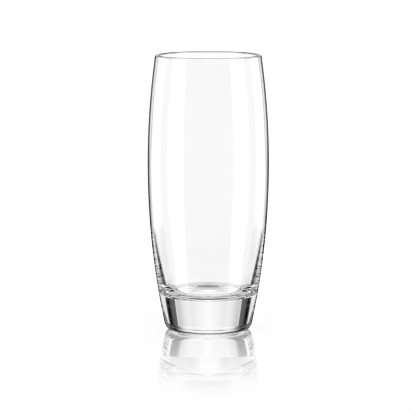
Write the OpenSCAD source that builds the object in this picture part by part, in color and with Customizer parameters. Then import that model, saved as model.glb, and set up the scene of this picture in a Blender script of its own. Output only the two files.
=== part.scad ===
// Highball glass: a barrel-shaped tumbler with a thin wall, a rounded lip and
// a thick solid base. It stands on the table at the origin, with +Z up, and
// every piece is turned from a half section, [distance from the axis, height].

/* [Outside] */
// Height from the table to the top of the lip
height = 150; // [130:1:180]
// Widest diameter of the barrel, at the belly
belly_d = 65.8; // [62:0.2:76]
// Height of the belly above the table
belly_h = 90; // [80:1:100]
// Diameter of the barrel's curve at the top of the lip
rim_d = 57.2; // [50:0.2:61]
// Diameter at which the barrel's curve would meet the table
foot_d = 46.4; // [42:0.2:54]
// Radius of the rounded heel, between the barrel and the resting ring
heel_r = 4.5; // [2:0.5:6]

/* [Wall] */
// Thickness of the wall, from the lip down to where it starts to thicken
wall_t = 2; // [1.4:0.1:3]
// Height at which the inside starts to draw in and the wall to thicken
thicken_h = 64; // [55:1:78]
// Thickness of the wall level with the floor of the cavity
low_wall_t = 5; // [4:0.2:8]

/* [Base] */
// Thickness of the solid glass between the table and the cavity's floor
floor_h = 19.2; // [12:0.2:30]
// Radius of the shallow dish that forms the cavity's floor
dish_r = 600; // [200:50:1500]
// Radius of the round corner between the cavity's floor and its wall
corner_r = 10; // [6:0.5:13]
// Height of the hollow under the middle of the base
hollow_h = 0.7; // [0.5:0.1:5]
// Width of the flat ring that rests on the table
ring_w = 4; // [1:0.5:8]
// Radius of the round edge between the resting ring and the hollow
ring_edge_r = 1; // [0.5:0.1:3]

/* [Rim] */
// Height of the rim above its seam with the wall
rim_h = 5; // [3:0.5:10]

/* [Hidden] */

// Straight steps in each arc of the half section
arc_steps = 16;
// Sides of the glass seen from above, where it is drawn as a mesh
turn_sides = 180;

// Clear glass with a trace of green in it
glass_colour = [0.88, 0.93, 0.92, 0.35];

// Outside: one arc above the belly and one below, both upright at the belly
belly_r = belly_d / 2;
upper_r = radius_from_sag(height - belly_h, belly_r - rim_d / 2);
lower_r = radius_from_sag(belly_h, belly_r - foot_d / 2);
upper_c = [belly_r - upper_r, belly_h];
lower_c = [belly_r - lower_r, belly_h];

// Heel: a round that touches the lower arc and the table
heel_c = [inner_touch(lower_c, lower_r, heel_r, heel_r), heel_r];
heel_angle = bearing(lower_c, heel_c);

// Underside: the resting ring's inner edge, rounded into a domed hollow
ring_inner_r = heel_c.x - ring_w;
edge_c = [ring_inner_r, ring_edge_r];
hollow_r = radius_from_sag(ring_inner_r, hollow_h) - ring_edge_r;
hollow_c = [0, hollow_h - hollow_r];
hollow_angle = bearing(hollow_c, edge_c);

// Inside of the wall: level with the outside down to thicken_h, then a tighter
// arc that runs on from it and reaches low_wall_t at the floor's height
even_r = lower_r - wall_t;
even_angle = asin((thicken_h - belly_h) / even_r);
even_end = on_circle(lower_c, even_r, even_angle);
low_point = [radius_at(lower_c, lower_r, floor_h) - low_wall_t, floor_h];
draw_r = touching_radius(even_end, even_angle, low_point);
draw_c = on_circle(even_end, -draw_r, even_angle);

// Floor of the cavity: a round corner that touches the wall and the dish
dish_c = [0, floor_h + dish_r];
corner_c = crossing(dish_c, dish_r - corner_r, draw_c, draw_r - corner_r);
draw_angle = bearing(draw_c, corner_c);
dish_angle = bearing(dish_c, corner_c);

// Lip: a full round on the wall's thickness
lip_r = wall_t / 2;
lip_arc_r = upper_r - lip_r;
lip_angle = asin((height - lip_r - belly_h) / lip_arc_r);
lip_c = on_circle(upper_c, lip_arc_r, lip_angle);

// Seams, where one piece of the glass meets the next on a flat ring
base_seam_h = on_circle(draw_c, draw_r, draw_angle).y;
rim_seam_h = height - rim_h;

// Radius of an arc that leaves a straight line by `sag` over the length `run`
function radius_from_sag(run, sag) = (run * run + sag * sag) / (2 * sag);

// Point on a circle at an angle, counted from straight outwards
function on_circle(centre, radius, angle) =
    centre + radius * [cos(angle), sin(angle)];

// Angle at which one point is seen from another
function bearing(from, to) = atan2(to.y - from.y, to.x - from.x);

// Angle at which a circle passes a height, on its outer side
function angle_at(centre, radius, level) = asin((level - centre.y) / radius);

// Distance from the axis at which a circle passes a height
function radius_at(centre, radius, level) =
    on_circle(centre, radius, angle_at(centre, radius, level)).x;

// Distance from the axis of the centre of a round, at the height `level`,
// that touches a larger circle from inside
function inner_touch(centre, radius, round_r, level) =
    radius_at(centre, radius - round_r, level);

// Radius of the circle that runs on from `start`, where it faces `angle`, and
// passes through `through`
function touching_radius(start, angle, through) =
    let (chord = through - start)
    chord * chord / (-2 * chord * [cos(angle), sin(angle)]);

// Point where two circles cross, on the side away from the axis
function crossing(c1, r1, c2, r2) =
    let (span = norm(c2 - c1),
         ahead = (c2 - c1) / span,
         along = (span * span + r1 * r1 - r2 * r2) / (2 * span),
         aside = sqrt(r1 * r1 - along * along),
         left = c1 + along * ahead + aside * [-ahead.y, ahead.x],
         right = c1 + along * ahead - aside * [-ahead.y, ahead.x])
    left.x > right.x ? left : right;

// Points along an arc, from one angle to another
function arc(centre, radius, from, to) =
    [for (i = [0 : arc_steps])
        on_circle(centre, radius, from + (to - from) * i / arc_steps)];

// Points along an arc, from one height to another
function arc_between(centre, radius, low, high) =
    arc(centre, radius,
        angle_at(centre, radius, low), angle_at(centre, radius, high));

// Turns a half section round the axis, as clear glass
module turned_glass(section) {
    color(glass_colour)
        rotate_extrude($fn = turn_sides)
            polygon(section);
}

// Solid base: hollow underside, resting ring, heel, and the cavity's floor
module base() {
    turned_glass(concat(
        arc(hollow_c, hollow_r, 90, hollow_angle),
        arc(edge_c, ring_edge_r, hollow_angle - 180, -90),
        arc(heel_c, heel_r, -90, heel_angle),
        arc_between(lower_c, lower_r,
                    on_circle(heel_c, heel_r, heel_angle).y, base_seam_h),
        arc(corner_c, corner_r, draw_angle, dish_angle),
        arc(dish_c, dish_r, dish_angle, -90)));
}

// Barrel wall: even from the rim to below the belly, thicker at its foot
module wall() {
    turned_glass(concat(
        arc_between(lower_c, lower_r, base_seam_h, belly_h),
        arc_between(upper_c, upper_r, belly_h, rim_seam_h),
        arc_between(upper_c, upper_r - wall_t, rim_seam_h, belly_h),
        arc(lower_c, even_r, 0, even_angle),
        arc(draw_c, draw_r, even_angle, draw_angle)));
}

// Rim: the last stretch of the wall, closed by the full-round lip
module rim() {
    turned_glass(concat(
        arc_between(upper_c, upper_r,
                    rim_seam_h, on_circle(upper_c, upper_r, lip_angle).y),
        arc(lip_c, lip_r, lip_angle, 90),
        arc(lip_c, lip_r, 90, lip_angle + 180),
        arc_between(upper_c, upper_r - wall_t,
                    on_circle(upper_c, upper_r - wall_t, lip_angle).y,
                    rim_seam_h)));
}

base();
wall();
rim();
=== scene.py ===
import math

import bpy
import bmesh
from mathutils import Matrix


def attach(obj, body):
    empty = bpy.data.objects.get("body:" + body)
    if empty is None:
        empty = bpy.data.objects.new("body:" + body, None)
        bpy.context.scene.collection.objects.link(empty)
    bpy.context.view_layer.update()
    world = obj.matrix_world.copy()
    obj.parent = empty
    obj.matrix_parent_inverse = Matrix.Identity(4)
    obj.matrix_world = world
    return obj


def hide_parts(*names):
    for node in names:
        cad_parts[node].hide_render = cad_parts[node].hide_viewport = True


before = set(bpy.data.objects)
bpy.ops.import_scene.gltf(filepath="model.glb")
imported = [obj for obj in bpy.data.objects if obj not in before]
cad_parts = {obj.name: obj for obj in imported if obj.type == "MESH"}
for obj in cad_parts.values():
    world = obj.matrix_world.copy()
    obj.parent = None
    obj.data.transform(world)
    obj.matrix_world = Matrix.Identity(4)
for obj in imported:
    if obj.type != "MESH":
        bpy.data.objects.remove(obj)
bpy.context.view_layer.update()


# The glass is one gather of clear soda-lime glass, blown and spun in a barrel
# mould: a thin wall, a thick solid base with a rounded heel and a shallow hollow
# under it, and a fire-polished lip. It has no joint, so it is one closed skin.

# Sizes in millimetres, as in the solids
mm = 0.001
height = 150.0
belly_d, belly_h = 65.8, 90.0
rim_d, foot_d = 57.2, 46.4
heel_r = 4.5
wall_t, thicken_h, low_wall_t = 2.0, 64.0, 5.0
floor_h, dish_r, corner_r = 19.2, 600.0, 10.0
hollow_h, ring_w, ring_edge_r = 0.7, 4.0, 1.0

# How finely it is turned: sides round the axis, and distances in metres below
# which two points are one
sides = 240
same_point, weld_distance = 1e-7, 1e-6


def radius_from_sag(run, sag):
    return (run * run + sag * sag) / (2 * sag)


def on_circle(centre, radius, angle):
    return (centre[0] + radius * math.cos(angle),
            centre[1] + radius * math.sin(angle))


def bearing(start, end):
    return math.atan2(end[1] - start[1], end[0] - start[0])


def angle_at(centre, radius, level):
    return math.asin((level - centre[1]) / radius)


def radius_at(centre, radius, level):
    return on_circle(centre, radius, angle_at(centre, radius, level))[0]


def crossing(centre_a, radius_a, centre_b, radius_b):
    """The outer of the two points where the circles cross."""
    span = math.dist(centre_a, centre_b)
    ahead = ((centre_b[0] - centre_a[0]) / span, (centre_b[1] - centre_a[1]) / span)
    along = (span * span + radius_a * radius_a - radius_b * radius_b) / (2 * span)
    aside = math.sqrt(radius_a * radius_a - along * along)
    return max((centre_a[0] + along * ahead[0] - turn * aside * ahead[1],
                centre_a[1] + along * ahead[1] + turn * aside * ahead[0])
               for turn in (1, -1))


# Outside: two arcs that are upright at the belly, and the heel below them
belly_r = belly_d / 2
upper_r = radius_from_sag(height - belly_h, belly_r - rim_d / 2)
lower_r = radius_from_sag(belly_h, belly_r - foot_d / 2)
upper_c = (belly_r - upper_r, belly_h)
lower_c = (belly_r - lower_r, belly_h)
heel_c = (radius_at(lower_c, lower_r - heel_r, heel_r), heel_r)
heel_angle = bearing(lower_c, heel_c)

# Underside: resting ring, its rounded inner edge and the domed hollow
edge_c = (heel_c[0] - ring_w, ring_edge_r)
hollow_r = radius_from_sag(edge_c[0], hollow_h) - ring_edge_r
hollow_c = (0.0, hollow_h - hollow_r)
hollow_angle = bearing(hollow_c, edge_c)

# Inside: even with the outside, then drawn in to the corner and the dish
even_r = lower_r - wall_t
even_angle = angle_at(lower_c, even_r, thicken_h)
even_end = on_circle(lower_c, even_r, even_angle)
low_point = (radius_at(lower_c, lower_r, floor_h) - low_wall_t, floor_h)
chord = (low_point[0] - even_end[0], low_point[1] - even_end[1])
draw_r = (chord[0] ** 2 + chord[1] ** 2) / (
    -2 * (chord[0] * math.cos(even_angle) + chord[1] * math.sin(even_angle)))
draw_c = on_circle(even_end, -draw_r, even_angle)
dish_c = (0.0, floor_h + dish_r)
corner_c = crossing(dish_c, dish_r - corner_r, draw_c, draw_r - corner_r)
draw_angle = bearing(draw_c, corner_c)
dish_angle = bearing(dish_c, corner_c)

# Lip: a full round on the wall
lip_r = wall_t / 2
lip_angle = angle_at(upper_c, upper_r - lip_r, height - lip_r)
lip_c = on_circle(upper_c, upper_r - lip_r, lip_angle)

# The half section, from the middle of the underside round to the middle of the
# floor; the low wall has fine steps, because it bends the view most
quarter = math.pi / 2
outline_arcs = [                       # centre, radius, from, to, steps
    (hollow_c, hollow_r, quarter, hollow_angle, 16),
    (edge_c, ring_edge_r, hollow_angle - math.pi, -quarter, 8),
    (heel_c, heel_r, -quarter, heel_angle, 20),
    (lower_c, lower_r, heel_angle, 0.0, 84),
    (upper_c, upper_r, 0.0, lip_angle, 36),
    (lip_c, lip_r, lip_angle, quarter, 14),
    (lip_c, lip_r, quarter, lip_angle + math.pi, 16),
    (upper_c, upper_r - wall_t, lip_angle, 0.0, 36),
    (lower_c, even_r, 0.0, even_angle, 12),
    (draw_c, draw_r, even_angle, draw_angle, 72),
    (corner_c, corner_r, draw_angle, dish_angle, 22),
    (dish_c, dish_r, dish_angle, -quarter, 16),
]
outline = []
for centre, radius, start, end, steps in outline_arcs:
    for i in range(steps + 1):
        r, z = on_circle(centre, radius, start + (end - start) * i / steps)
        if not outline or math.dist(outline[-1], (r * mm, z * mm)) > same_point:
            outline.append((r * mm, z * mm))
outline[0] = (0.0, outline[0][1])
outline[-1] = (0.0, outline[-1][1])

half_section = bpy.data.meshes.new("glass_half_section")
half_section.from_pydata([(r, 0.0, z) for r, z in outline],
                         [(i, i + 1) for i in range(len(outline) - 1)], [])
glass = bpy.data.objects.new("highball_glass", half_section)
bpy.context.scene.collection.objects.link(glass)


def reckon(tree, operation, *values):
    """A Math node in the tree; each value is a plain number or another node's socket."""
    node = tree.nodes.new("ShaderNodeMath")
    node.operation = operation
    for socket, value in zip(node.inputs, values):
        if isinstance(value, (int, float)):
            socket.default_value = value
        else:
            tree.links.new(value, socket)
    return node.outputs[0]


def fade(tree, value, near, far, at_near, at_far, curve="SMOOTHSTEP"):
    """A value from near to far becomes at_near to at_far."""
    node = tree.nodes.new("ShaderNodeMapRange")
    node.interpolation_type = curve
    tree.links.new(value, node.inputs["Value"])
    node.inputs["From Min"].default_value = near
    node.inputs["From Max"].default_value = far
    node.inputs["To Min"].default_value = at_near
    node.inputs["To Max"].default_value = at_far
    return node.outputs["Result"]


# Clear glass has next to no colour. Two dark bands of painted reflection, at the lip and
# low on the heel, stand in for dark reflections there, and show only at a slant.
glass_ior = 1.52
clear, lip_painted_reflection, heel_painted_reflection = 0.997, 0.5, 0.05
painted_reflection_bands = [(0.0, clear), (1.0, clear), (1.3, heel_painted_reflection), (2.4, heel_painted_reflection), (2.8, clear),
         (149.0, clear), (149.4, lip_painted_reflection), (height, lip_painted_reflection)]
slant_from, slant_to = 0.20, 0.30

clear_glass = bpy.data.materials.new("clear_soda_lime_glass")
clear_glass.use_nodes = True
nodes, links = clear_glass.node_tree.nodes, clear_glass.node_tree.links
skin = nodes["Principled BSDF"]
skin.inputs["Transmission Weight"].default_value = 1.0
skin.inputs["IOR"].default_value = glass_ior
place = nodes.new("ShaderNodeTexCoord")
upward = nodes.new("ShaderNodeSeparateXYZ")
links.new(place.outputs["Object"], upward.inputs[0])
# Painted dark reflections: the colour darkens in bands by height, at the lip and low on the heel
painted_reflection_ramp = nodes.new("ShaderNodeValToRGB")
bands = painted_reflection_ramp.color_ramp.elements
for i, (level_mm, shade) in enumerate(painted_reflection_bands):
    if i == 0:
        band = bands[0]
    elif i == len(painted_reflection_bands) - 1:
        band = bands[-1]
    else:
        band = bands.new(level_mm / height)
    band.position = level_mm / height
    band.color = (shade, shade, shade, 1.0)
links.new(reckon(clear_glass.node_tree, "DIVIDE", upward.outputs["Z"], height * mm),
          painted_reflection_ramp.inputs[0])
# The painted dark reflections are mixed in only where the glass is seen at a slant
slant = nodes.new("ShaderNodeLayerWeight")
slant.inputs["Blend"].default_value = 0.5
painted_reflection_mix = nodes.new("ShaderNodeMix")
painted_reflection_mix.data_type = "RGBA"
painted_reflection_mix.inputs["A"].default_value = (clear, clear, clear, 1.0)
links.new(painted_reflection_ramp.outputs["Color"], painted_reflection_mix.inputs["B"])
links.new(fade(clear_glass.node_tree, slant.outputs["Facing"], slant_from, slant_to, 0.0, 1.0,
               curve="LINEAR"), painted_reflection_mix.inputs["Factor"])
links.new(painted_reflection_mix.outputs["Result"], skin.inputs["Base Color"])

# Blowing leaves faint upright waves in the skin
wave_scale, wave_detail, wave_squeeze = 90.0, 1.5, 0.35
wave_strength, wave_depth = 0.02, 0.0004
stretch = nodes.new("ShaderNodeMapping")
stretch.inputs["Scale"].default_value = (1.0, 1.0, wave_squeeze)
links.new(place.outputs["Object"], stretch.inputs["Vector"])
waves = nodes.new("ShaderNodeTexNoise")
waves.inputs["Scale"].default_value = wave_scale
waves.inputs["Detail"].default_value = wave_detail
links.new(stretch.outputs["Vector"], waves.inputs["Vector"])
ripple = nodes.new("ShaderNodeBump")
ripple.inputs["Strength"].default_value = wave_strength
ripple.inputs["Distance"].default_value = wave_depth
links.new(waves.outputs["Fac"], ripple.inputs["Height"])
links.new(ripple.outputs["Normal"], skin.inputs["Normal"])

# The polish is perfect over most of the glass and a little less in soft patches
smear_scale, smear_detail = 38.0, 4.0
smear_from, smear_to, smear_roughness = 0.45, 0.80, 0.008
smears = nodes.new("ShaderNodeTexNoise")
smears.inputs["Scale"].default_value = smear_scale
smears.inputs["Detail"].default_value = smear_detail
links.new(place.outputs["Object"], smears.inputs["Vector"])
links.new(fade(clear_glass.node_tree, smears.outputs["Fac"], smear_from, smear_to,
               0.0, smear_roughness, curve="LINEAR"), skin.inputs["Roughness"])

# The lathe: every point of the half section is carried round the axis
lathe = bpy.data.node_groups.new("turn_half_section", "GeometryNodeTree")
lathe.is_modifier = True
lathe.interface.new_socket("Half section", in_out="INPUT", socket_type="NodeSocketGeometry")
sides_in = lathe.interface.new_socket("Sides", in_out="INPUT", socket_type="NodeSocketInt")
sides_in.default_value = sides
weld_in = lathe.interface.new_socket("Weld distance", in_out="INPUT",
                                     socket_type="NodeSocketFloat")
weld_in.default_value = weld_distance
finish_in = lathe.interface.new_socket("Finish", in_out="INPUT",
                                       socket_type="NodeSocketMaterial")
lathe.interface.new_socket("Turned glass", in_out="OUTPUT", socket_type="NodeSocketGeometry")


def lathe_node(kind, **settings):
    node = lathe.nodes.new(kind)
    for name, value in settings.items():
        setattr(node, name, value)
    return node


# A grid with one row for each point of the section and one column for each side
given = lathe_node("NodeGroupInput")
count = lathe_node("GeometryNodeAttributeDomainSize", component="MESH")
lathe.links.new(given.outputs["Half section"], count.inputs["Geometry"])
columns = reckon(lathe, "ADD", given.outputs["Sides"], 1.0)
sheet = lathe_node("GeometryNodeMeshGrid")
lathe.links.new(count.outputs["Point Count"], sheet.inputs["Vertices X"])
lathe.links.new(columns, sheet.inputs["Vertices Y"])

# Each point of the grid takes its radius and height from the section, and its
# turn from its column
index = lathe_node("GeometryNodeInputIndex")
ring = reckon(lathe, "FLOOR", reckon(lathe, "DIVIDE", index.outputs[0], columns))
column = reckon(lathe, "SUBTRACT", index.outputs[0], reckon(lathe, "MULTIPLY", ring, columns))
turned_by = reckon(lathe, "MULTIPLY", reckon(lathe, "DIVIDE", column, given.outputs["Sides"]),
                   2 * math.pi)
section_point = lathe_node("GeometryNodeSampleIndex", data_type="FLOAT_VECTOR", domain="POINT")
position = lathe_node("GeometryNodeInputPosition")
lathe.links.new(given.outputs["Half section"], section_point.inputs["Geometry"])
lathe.links.new(position.outputs[0], section_point.inputs["Value"])
lathe.links.new(ring, section_point.inputs["Index"])
split = lathe_node("ShaderNodeSeparateXYZ")
lathe.links.new(section_point.outputs["Value"], split.inputs[0])
turned = lathe_node("ShaderNodeCombineXYZ")
for axis, wave in (("X", "COSINE"), ("Y", "SINE")):
    lathe.links.new(reckon(lathe, "MULTIPLY", split.outputs["X"], reckon(lathe, wave, turned_by)),
                    turned.inputs[axis])
lathe.links.new(split.outputs["Z"], turned.inputs["Z"])
carried = lathe_node("GeometryNodeSetPosition")
lathe.links.new(sheet.outputs["Mesh"], carried.inputs["Geometry"])
lathe.links.new(turned.outputs[0], carried.inputs["Position"])

# The seam and both poles are welded, and the glass gets its material
weld = lathe_node("GeometryNodeMergeByDistance")
lathe.links.new(carried.outputs[0], weld.inputs["Geometry"])
lathe.links.new(given.outputs["Weld distance"], weld.inputs["Distance"])
smooth = lathe_node("GeometryNodeSetShadeSmooth")
lathe.links.new(weld.outputs[0], smooth.inputs["Geometry"])
real = lathe_node("GeometryNodeRealizeInstances")
lathe.links.new(smooth.outputs[0], real.inputs[0])
finish = lathe_node("GeometryNodeSetMaterial")
lathe.links.new(real.outputs[0], finish.inputs["Geometry"])
lathe.links.new(given.outputs["Finish"], finish.inputs["Material"])
result = lathe_node("NodeGroupOutput")
lathe.links.new(finish.outputs[0], result.inputs[0])

turning = glass.modifiers.new("turning", "NODES")
turning.node_group = lathe
turning[sides_in.identifier] = sides
turning[weld_in.identifier] = weld_distance
turning[finish_in.identifier] = clear_glass
bpy.context.view_layer.update()
skin_mesh = bpy.data.meshes.new_from_object(
    glass.evaluated_get(bpy.context.evaluated_depsgraph_get()))
glass.modifiers.clear()
glass.data = skin_mesh
skin_mesh.name = "highball_glass"

# The skin is one closed shell; its faces are turned to point out of the glass
shell = bmesh.new()
shell.from_mesh(skin_mesh)
if shell.calc_volume(signed=True) < 0:
    bmesh.ops.reverse_faces(shell, faces=shell.faces)
open_edges = sum(not edge.is_manifold for edge in shell.edges)
glass_volume = shell.calc_volume(signed=True)
shell.to_mesh(skin_mesh)
shell.free()
print(f"glass: {len(skin_mesh.polygons)} faces, {open_edges} open edges, "
      f"{glass_volume * 1e6:.1f} cm3")

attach(glass, "root")
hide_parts("base", "wall", "rim")


# The table is a sheet of white acrylic with a polished face. It shows a soft
# mirror image of the glass near its foot, and runs out to plain white.

table_half = 3.0
glow_from, glow_to, glow_share = 0.02, 0.11, 0.7
shine_from, shine_to, shine_share = 0.015, 0.17, 0.68

table_mesh = bpy.data.meshes.new("table")
table_mesh.from_pydata([(-table_half, -table_half, 0), (table_half, -table_half, 0),
                        (table_half, table_half, 0), (-table_half, table_half, 0)],
                       [], [(0, 1, 2, 3)])
table = bpy.data.objects.new("table", table_mesh)
bpy.context.scene.collection.objects.link(table)
table.visible_glossy = False
table.visible_transmission = False

acrylic = bpy.data.materials.new("white_acrylic")
acrylic.use_nodes = True
nodes, links = acrylic.node_tree.nodes, acrylic.node_tree.links
nodes.clear()
place = nodes.new("ShaderNodeTexCoord")
reach = nodes.new("ShaderNodeVectorMath")
reach.operation = "LENGTH"
links.new(place.outputs["Object"], reach.inputs[0])
matt = nodes.new("ShaderNodeBsdfDiffuse")
matt.inputs["Color"].default_value = (1.0, 1.0, 1.0, 1.0)
glow = nodes.new("ShaderNodeEmission")
far_white = nodes.new("ShaderNodeMixShader")
links.new(fade(acrylic.node_tree, reach.outputs["Value"], glow_from, glow_to, glow_share, 1.0),
          far_white.inputs[0])
links.new(matt.outputs[0], far_white.inputs[1])
links.new(glow.outputs[0], far_white.inputs[2])
face = nodes.new("ShaderNodeBsdfAnisotropic")
face.inputs["Color"].default_value = (1.0, 1.0, 1.0, 1.0)
face.inputs["Roughness"].default_value = 0.0
polished = nodes.new("ShaderNodeMixShader")
links.new(fade(acrylic.node_tree, reach.outputs["Value"], shine_from, shine_to,
               shine_share, 0.0), polished.inputs[0])
links.new(far_white.outputs[0], polished.inputs[1])
links.new(face.outputs[0], polished.inputs[2])
acrylic_out = nodes.new("ShaderNodeOutputMaterial")
links.new(polished.outputs[0], acrylic_out.inputs["Surface"])
table_mesh.materials.append(acrylic)


# The studio is a white sweep with soft boxes at both sides and black cards. It is
# drawn in the world by direction: the camera and plain surfaces see white alone,
# and the glass shows the boxes and the cards, which give it its edges.

studio = bpy.data.worlds.new("studio")
bpy.context.scene.world = studio
studio.use_nodes = True
studio.cycles.sampling_method = "NONE"
nodes, links = studio.node_tree.nodes, studio.node_tree.links
nodes.clear()


def number(operation, *values):
    return reckon(studio.node_tree, operation, *values)


def between(first, second, share):
    return number("ADD", first, number("MULTIPLY", share, number("SUBTRACT", second, first)))


# Where a ray leaves for: the bearing goes from 0 at the camera's side to 1 behind
# the glass, the same on both sides, and the rise is in degrees above the level
look = nodes.new("ShaderNodeTexCoord")
way = nodes.new("ShaderNodeSeparateXYZ")
links.new(look.outputs["Generated"], way.inputs[0])
east, north, up = way.outputs
round_angle = number("ARCTAN2", number("ABSOLUTE", east), number("MULTIPLY", north, -1.0))
round_share = number("MULTIPLY", round_angle, 1 / math.pi)
rise = number("MULTIPLY", number("ARCSINE", up), 180 / math.pi)

# What the ray has been through: faces that turned it back, and faces it crossed
ray = nodes.new("ShaderNodeLightPath")
turned_back, crossed = ray.outputs["Glossy Depth"], ray.outputs["Transmission Depth"]
bounced = number("GREATER_THAN", turned_back, 0.5)
bounced_twice = number("GREATER_THAN", turned_back, 1.5)
bounced_thrice = number("GREATER_THAN", turned_back, 2.5)
bounced_often = number("GREATER_THAN", turned_back, 6.5)
through = number("GREATER_THAN", crossed, 0.5)
one_wall = number("LESS_THAN", crossed, 2.5)
through_more = number("GREATER_THAN", crossed, 2.5)

brightest = 4.0                        # a colour ramp ends at 1, so levels are scaled to it


def cards(name, stops):
    """Brightness round the glass: stops are (degrees from the camera's side, level)."""
    ramp = nodes.new("ShaderNodeValToRGB")
    ramp.name = name
    band = ramp.color_ramp
    band.interpolation = "LINEAR"
    while len(band.elements) > 1:
        band.elements.remove(band.elements[-1])
    for i, (degrees, level) in enumerate(stops):
        element = band.elements[0] if i == 0 else band.elements.new(degrees / 180)
        element.position = degrees / 180
        element.color = (level / brightest,) * 3 + (1.0,)
    links.new(round_share, ramp.inputs[0])
    return number("MULTIPLY", ramp.outputs["Color"], brightest)


def tiers(name, lowest, *higher):
    """Cards stacked in height: each tier is (from this many degrees up, softness, stops)."""
    stack = cards(name, lowest)
    for i, (degrees, soft, stops) in enumerate(higher, 1):
        above = fade(studio.node_tree, rise, degrees - soft, degrees + soft, 0.0, 1.0)
        stack = between(stack, cards(f"{name}_{i}", stops), above)
    return stack


# The levels below were set for the view from the front. Light that went through,
# was mirrored or was turned back gets its own cards, so this isn't one real room.

# Straight through the glass: the white sweep, and the cards above the table
straight = tiers(
    "sweep",
    [(0, 0.3)],
    (-75.0, 5.0, [
        (0, 0.72), (175, 0.72), (178, 0.58), (180, 0.58)]),
    (-50.0, 5.0, [
        (0, 1.12), (140, 1.3), (158, 1.15), (166, 1.09), (170, 1.05), (174, 1.0), (180, 1.0)]),
    (-13.0, 2.0, [
        (0, 1.12), (140, 1.4), (158, 1.2), (164, 1.08), (167, 1.04), (170, 1.01),
        (176, 1.015), (180, 1.035)]),
    (-1.5, 1.0, [
        (0, 1.1), (112, 0.95), (127.5, 0.95), (129.5, 0.3), (132, 0.0), (137.5, 0.0),
        (141, 0.1), (147.6, 0.12), (148.3, 0.68), (150, 0.68), (154, 0.57), (158, 0.74),
        (161, 0.8), (165, 0.86), (172, 0.96), (180, 1.04)]),
    (7.5, 0.8, [
        (0, 1.1), (85, 1.1), (88, 0.2), (100, 0.05), (138, 0.0), (143, 0.05), (148, 0.3),
        (154, 0.75), (162, 0.95), (180, 1.05)]),
    (33.0, 4.0, [
        (0, 1.0), (120, 0.4), (140, 0.3), (160, 0.8), (180, 1.0)]))

# Through both walls the room beside the sweep is white; only the base bends
# its view far enough round to take in the side cards
sweep_edge, room_level = 116 / 180, 1.08
beside = number("MULTIPLY", through_more, number("LESS_THAN", round_share, sweep_edge))
straight = between(straight, room_level, beside)

# Through one wall only, over the far lip: the table falls away behind it
table_edge = -8.0
lip_view = tiers(
    "lip_view",
    [(0, 0.85), (171, 0.85), (175, 0.75), (180, 0.7)],
    (-16.0, 3.0, [
        (0, 1.05)]))
past_edge = number("MAXIMUM", through_more, number("GREATER_THAN", rise, table_edge))
straight = between(lip_view, straight, past_edge)

# Mirrored in the outer face: soft boxes, and darkness beside the sweep
mirrored = tiers(
    "boxes",
    [(0, 0.3), (45, 0.3), (49, 2.1), (77, 2.2), (80, 0.3), (90, 0.3), (103, 0.0), (129, 0.0),
     (135, 0.6), (150, 0.6), (156, 0.0), (166, 0.0), (174, 0.9), (180, 1.1)],
    (-14.0, 3.0, [
        (0, 0.5), (46, 0.5), (50, 1.6), (82, 1.6), (85, 0.85), (103, 0.85), (106, 1.7),
        (140, 1.7), (148, 1.1), (155, 0.0), (166, 0.0), (172, 0.3), (180, 0.5)]),
    (4.0, 2.0, [
        (0, 0.4), (46, 0.4), (50, 1.7), (79, 1.7), (82, 0.9), (104, 1.1), (107, 1.7),
        (148, 1.4), (166, 1.0), (180, 1.0)]),
    (32.0, 4.0, [
        (0, 0.1), (90, 0.3), (120, 0.9), (160, 0.9), (172, 0.3), (180, 0.3)]))

# Turned back once inside the wall: the dark lines along the wall's edge
once = tiers(
    "glint",
    [(0, 0.6), (60, 1.2), (100, 1.0), (108, 0.3), (126, 0.3), (150, 0.6), (180, 0.6)],
    (-60.0, 5.0, [
        (0, 0.6), (60, 1.2), (100, 1.0), (108, 0.4), (126, 0.6), (135, 0.3), (142, 0.1),
        (147, 0.3), (151, 0.75), (156, 0.95), (159, 0.15), (180, 0.12)]),
    (-35.0, 2.0, [
        (0, 0.3), (48, 0.5), (52, 1.3), (104, 1.0), (107, 0.4), (124, 0.4), (130, 1.0),
        (134, 0.7), (138, 0.3), (142, 0.0), (152, 0.0), (157, 0.35), (180, 0.35)]),
    (-23.0, 1.0, [
        (0, 0.3), (48, 0.5), (52, 1.3), (104, 1.0), (107, 0.4), (124, 0.8), (130, 1.0),
        (135, 0.8), (140, 0.3), (143, 0.0), (151, 0.0), (156, 0.6), (160, 0.95), (180, 0.97)]),
    (-15.0, 1.5, [
        (0, 0.3), (48, 0.5), (52, 1.5), (85, 1.5), (89, 0.7), (103, 0.7), (107, 1.5),
        (138, 1.0), (149, 0.55), (156, 0.2), (160, 0.05), (168, 0.0), (174, 0.3), (180, 0.25)]),
    (-6.0, 1.0, [
        (0, 0.3), (48, 0.5), (52, 1.5), (85, 1.5), (89, 0.7), (103, 0.7), (107, 1.3),
        (135, 1.0), (140, 0.85), (143, 0.45), (146.5, 0.45), (149.5, 0.8), (153, 0.7),
        (158, 0.4), (162, 0.05), (168, 0.1), (176, 0.9), (180, 1.2)]),
    (14.0, 3.0, [
        (0, 0.05), (30, 0.1), (60, 0.6), (85, 0.9), (88, 0.3), (112, 0.1), (115, 0.95),
        (127, 0.95), (129, 0.0), (143, 0.02), (147, 0.15), (150, 0.6), (162, 0.9), (180, 1.0)]))

# Turned back once in the far wall: an even grey, dark low behind the glass
again = tiers(
    "again",
    [(0, 0.6), (88, 0.6), (94, 0.1), (140, 0.2), (155, 0.8), (180, 0.8)],
    (-15.0, 1.5, [
        (0, 0.6), (165, 0.7), (175, 0.9), (178, 0.0), (180, 0.0)]),
    (9.0, 2.0, [
        (0, 0.6), (120, 0.7), (165, 0.95), (180, 1.0)]))

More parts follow.
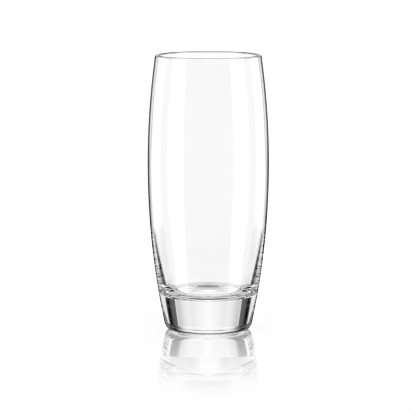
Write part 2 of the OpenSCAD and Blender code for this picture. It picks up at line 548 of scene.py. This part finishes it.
# Turned back more than once, deep in the base: the lit table and a dark room
deep = tiers(
    "depths",
    [(0, 0.05), (22, 0.1), (32, 0.8), (50, 0.8), (62, 0.0), (140, 0.0), (155, 0.6),
     (163, 0.8), (175, 0.95), (180, 0.9)],
    (-17.0, 1.5, [
        (0, 0.3), (4, 0.3), (6, 1.2), (14, 1.2), (25, 0.05), (80, 0.1), (92, 1.0),
        (105, 1.6), (113, 1.6), (118, 1.0), (150, 0.6), (166, 0.6), (175, 1.0), (180, 1.0)]),
    (0.0, 3.0, [
        (0, 1.5), (5, 1.5), (9, 0.05), (22, 0.0), (32, 0.6), (58, 0.5), (75, 0.1), (84, 0.1),
        (92, 1.0), (109, 1.0), (115, 0.05), (130, 0.05), (141, 0.9), (150, 0.6), (165, 0.8),
        (175, 0.9), (178, 0.3), (180, 0.3)]),
    (34.0, 4.0, [
        (0, 1.4), (30, 1.2), (60, 0.9), (72, 0.1), (100, 0.15), (140, 0.15), (165, 0.7),
        (180, 1.2)]))

# Turned back three times or more in one wall and out near the level: dark, as
# beside the sweep
edge_middle, edge_reach, edge_level = -5.5, 7.5, 0.25
near_level = number("LESS_THAN", number("ABSOLUTE", number("SUBTRACT", rise, edge_middle)),
                    edge_reach)
wall_edge = number("MULTIPLY", number("MULTIPLY", bounced_thrice, one_wall), near_level)
deep = between(deep, edge_level, wall_edge)

# Light that is piped along the wall for longer comes out an even grey
piped_level = 0.62
inside = between(between(once, again, through_more), deep, bounced_twice)
inside = between(inside, piped_level, bounced_often)
in_glass = between(straight, between(mirrored, inside, through), bounced)

# The table is lit a little more through the glass than beside it, and the camera
# sees plain white
open_light, through_light, camera_white = 1.0, 1.1, 1.0
table_light = between(open_light, through_light, number("MAXIMUM", through, bounced))
level = between(in_glass, table_light, number("GREATER_THAN", ray.outputs["Diffuse Depth"], 0.5))
level = between(level, camera_white, ray.outputs["Is Camera Ray"])
sky = nodes.new("ShaderNodeBackground")
sky.inputs["Color"].default_value = (1.0, 1.0, 1.0, 1.0)
links.new(level, sky.inputs["Strength"])
studio_out = nodes.new("ShaderNodeOutputWorld")
links.new(sky.outputs[0], studio_out.inputs["Surface"])


# The camera has a long lens. It stands about a metre away, a little above the
# rim, and is tilted down.

lens_mm, sensor_mm, nearest = 171.46, 36.0, 0.01
camera_place = (-0.00016, -1.0652, 0.22399)
tilt_down = 8.4
light_bounces = 48
pixel_filter = 1.0

camera_data = bpy.data.cameras.new("camera")
camera_data.sensor_width = sensor_mm
camera_data.lens = lens_mm
camera_data.clip_start = nearest
camera = bpy.data.objects.new("camera", camera_data)
camera.location = camera_place
camera.rotation_euler = (math.radians(90 - tilt_down), 0.0, 0.0)
bpy.context.scene.collection.objects.link(camera)
bpy.context.scene.camera = camera

bpy.context.scene.view_settings.view_transform = "Standard"
bpy.context.scene.cycles.filter_width = pixel_filter
bpy.context.scene.cycles.max_bounces = light_bounces
bpy.context.scene.cycles.transmission_bounces = light_bounces
bpy.context.scene.cycles.glossy_bounces = light_bounces
